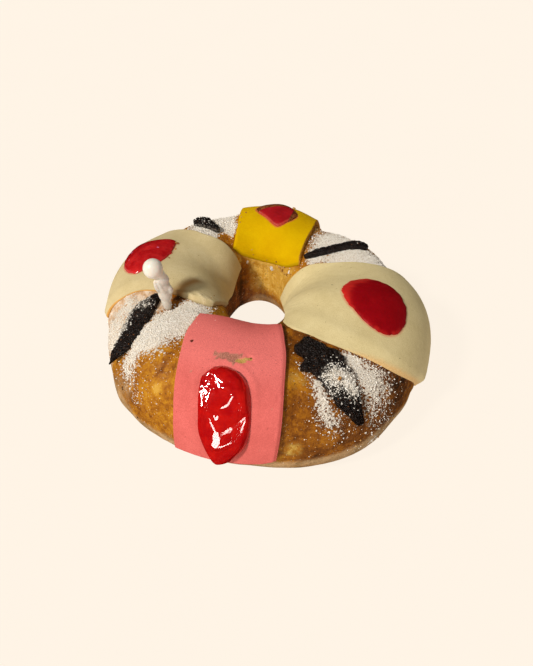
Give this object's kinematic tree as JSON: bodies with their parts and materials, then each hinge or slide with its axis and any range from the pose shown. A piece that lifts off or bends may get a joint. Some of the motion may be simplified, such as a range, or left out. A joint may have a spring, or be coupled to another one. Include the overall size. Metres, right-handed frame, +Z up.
{
  "type": "rosca de reyes",
  "caption": "Personal-size ring loaf of sweet bread with sugar-paste crusts, slabs of red fruit jelly, dark dried fruit strips and a white plastic doll pushed into the crust",
  "frame": {"origin": "centre of the bounding box's bottom, on the surface that the ring rests on", "axes": "+Z up, through the ring's hole; -Y towards the pink crust, +Y towards the yellow crust, +X towards the cream crust with no doll beside it"},
  "size_m": [0.1562, 0.1603, 0.0722],
  "materials": {
    "baked_dough": "egg-washed golden brown crust, slightly shiny, with sugar",
    "pink_paste": "matte sugar paste",
    "cream_paste": "matte sugar paste",
    "yellow_paste": "matte sugar paste",
    "tan_paste": "matte sugar paste",
    "bright_jelly": "wet gloss fruit jelly",
    "dark_jelly": "satin fruit jelly",
    "dried_fruit": "matte, shrivelled",
    "white_plastic": "smooth"
  },
  "bodies": {
    "root": {"loaf": "baked_dough", "crust_front": "pink_paste", "crust_right": "cream_paste", "crust_back": "yellow_paste", "crust_left": "tan_paste", "jelly_front": "bright_jelly", "jelly_right": "dark_jelly", "jelly_back": "dark_jelly", "jelly_left": "dark_jelly", "strip_front_left": "dried_fruit", "strip_front_right": "dried_fruit", "strip_back_right": "dried_fruit", "strip_back_left": "dried_fruit", "doll": "white_plastic"}
  },
  "joints": []
}
